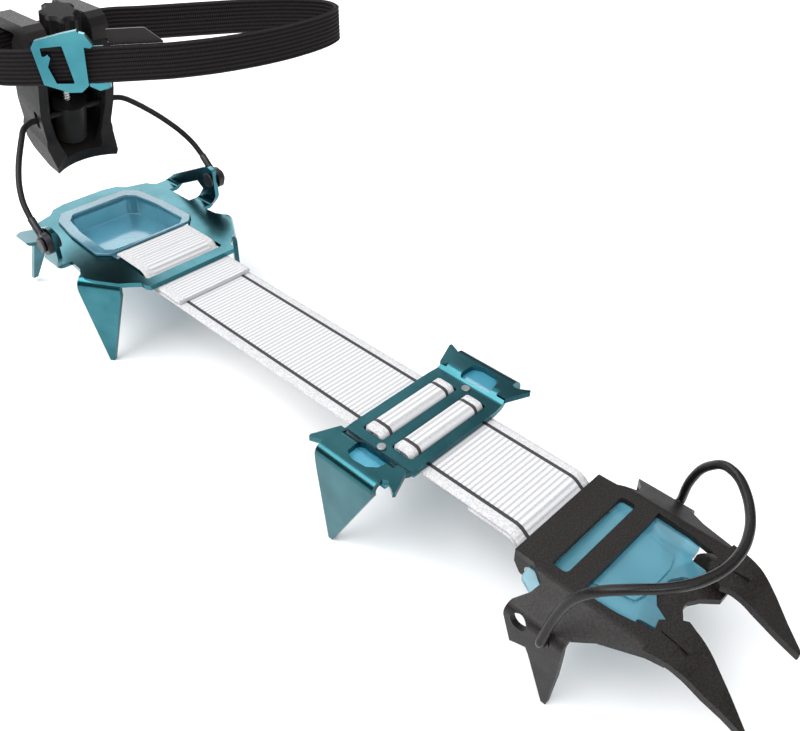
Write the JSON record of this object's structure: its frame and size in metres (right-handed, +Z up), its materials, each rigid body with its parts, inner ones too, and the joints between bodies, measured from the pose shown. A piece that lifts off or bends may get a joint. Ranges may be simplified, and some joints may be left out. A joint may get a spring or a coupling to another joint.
{
  "type": "crampon",
  "caption": "Hybrid crampon: steel toe frame, sliding middle plate and alloy heel frame on a woven link strap, with wire toe bail, heel lever and ankle strap.",
  "frame": {"origin": "centre of the toe frame's upper face just behind the front window, on the plane that carries the boot sole", "axes": "X across the boot, +Y from the toe towards the heel, +Z up away from the points"},
  "size_m": [0.1461, 0.3563, 0.1287],
  "materials": {
    "powder_steel": "dark brown-black powder coat over steel",
    "bail_wire": "dark coated spring wire",
    "pin_steel": "plain steel",
    "blue_plastic_toe": "translucent light blue plastic",
    "blue_plastic_mid": "translucent blue plastic",
    "blue_plastic_heel": "translucent blue plastic",
    "web_toe": "white ribbed webbing with dark edge stripes",
    "web_front": "white ribbed webbing with dark edge stripes",
    "web_rear": "white ribbed webbing with dark edge stripes",
    "web_wrap": "white ribbed webbing",
    "web_tail": "white ribbed webbing",
    "web_ridge_front": "white ribbed webbing",
    "web_ridge_rear": "white ribbed webbing",
    "teal_anodised": "dark teal anodised",
    "cyan_anodised": "bright teal anodised",
    "rivet_grey": "matt grey steel",
    "rivet_dark": "blackened steel",
    "cable_black": "black plastic sleeve over cable",
    "ferrule_black": "blackened steel",
    "lever_plastic": "dark moulded nylon",
    "barrel_plastic": "dark moulded nylon",
    "screw_steel": "bright steel",
    "knob_plastic": "dark moulded nylon",
    "ankle_web": "black ribbed webbing",
    "buckle_teal": "bright teal anodised",
    "slider_teal": "bright teal anodised",
    "tab_black": "black woven label, blank"
  },
  "bodies": {
    "toe": {"toe_frame": "powder_steel", "strap_pin": "pin_steel", "toe_snow_plate": "blue_plastic_toe", "strap_toe_loop": "web_toe"},
    "bail": {"toe_bail": "bail_wire"},
    "front_web": {"strap_front": "web_front"},
    "mid": {"mid_plate": "teal_anodised", "mid_snow_plate": "blue_plastic_mid", "mid_rivets": "rivet_grey", "strap_ridge_front": "web_ridge_front", "strap_ridge_rear": "web_ridge_rear"},
    "rear_web": {"strap_rear": "web_rear"},
    "heel": {"heel_frame": "cyan_anodised", "heel_snow_plate": "blue_plastic_heel", "strap_heel_wrap": "web_wrap", "cable_rivets": "rivet_dark"},
    "tail": {"strap_tail": "web_tail"},
    "cable": {"heel_cable": "cable_black", "cable_eyes": "ferrule_black"},
    "carriage": {"adjuster_barrel": "barrel_plastic"},
    "lever": {"lever_body": "lever_plastic", "ankle_strap": "ankle_web", "strap_tab": "tab_black"},
    "knob": {"knob": "knob_plastic", "adjuster_screw": "screw_steel"},
    "buckle": {"buckle": "buckle_teal", "strap_slider": "slider_teal"}
  },
  "joints": [
    {"name": "bail_pivot", "type": "hinge", "parent": "toe", "child": "bail", "pos_m": [0, -0.0165, -0.0085], "axis": [1, 0, 0], "range_deg": [-70, 25]},
    {"name": "toe_flex", "type": "hinge", "parent": "toe", "child": "front_web", "pos_m": [0, 0.011, 0], "axis": [1, 0, 0], "range_deg": [-15, 45]},
    {"name": "mid_slide", "type": "slide", "parent": "front_web", "child": "mid", "axis": [0, 1, 0], "range_m": [-0.01, 0.014]},
    {"name": "strap_fold", "type": "hinge", "parent": "front_web", "child": "rear_web", "pos_m": [0, 0.1, 0], "axis": [1, 0, 0], "range_deg": [-30, 60]},
    {"name": "length_adjust", "type": "slide", "parent": "rear_web", "child": "heel", "axis": [0, 1, 0], "range_m": [-0.02, 0.012], "deforming": ["strap_heel_wrap"]},
    {"name": "tail_feed", "type": "slide", "parent": "heel", "child": "tail", "axis": [0, 1, 0], "range_m": [-0.02, 0.012]},
    {"name": "cable_pivot", "type": "hinge", "parent": "heel", "child": "cable", "pos_m": [0, 0.226, 0.017], "axis": [1, 0, 0], "range_deg": [-20, 30]},
    {"name": "lever_pivot", "type": "hinge", "parent": "cable", "child": "carriage", "pos_m": [0, 0.264, 0.0495], "axis": [1, 0, 0], "range_deg": [-75, 5]},
    {"name": "lever_adjust", "type": "slide", "parent": "carriage", "child": "lever", "axis": [0, -0.319, 0.9478], "range_m": [-0.0025, 0.0025]},
    {"name": "knob_turn", "type": "hinge", "parent": "lever", "child": "knob", "pos_m": [0, 0.25945, 0.07962], "axis": [0, -0.319, 0.9478], "range_deg": [-721, 721]},
    {"name": "buckle_slide", "type": "slide", "parent": "lever", "child": "buckle", "axis": [0.788, -0.6157, 0], "range_m": [-0.003, 0.003]}
  ],
  "couplings": [
    {"joint": "tail_feed", "follows": "length_adjust", "ratio": 1},
    {"joint": "knob_turn", "follows": "lever_adjust", "rad_per_m": 5026.6}
  ]
}
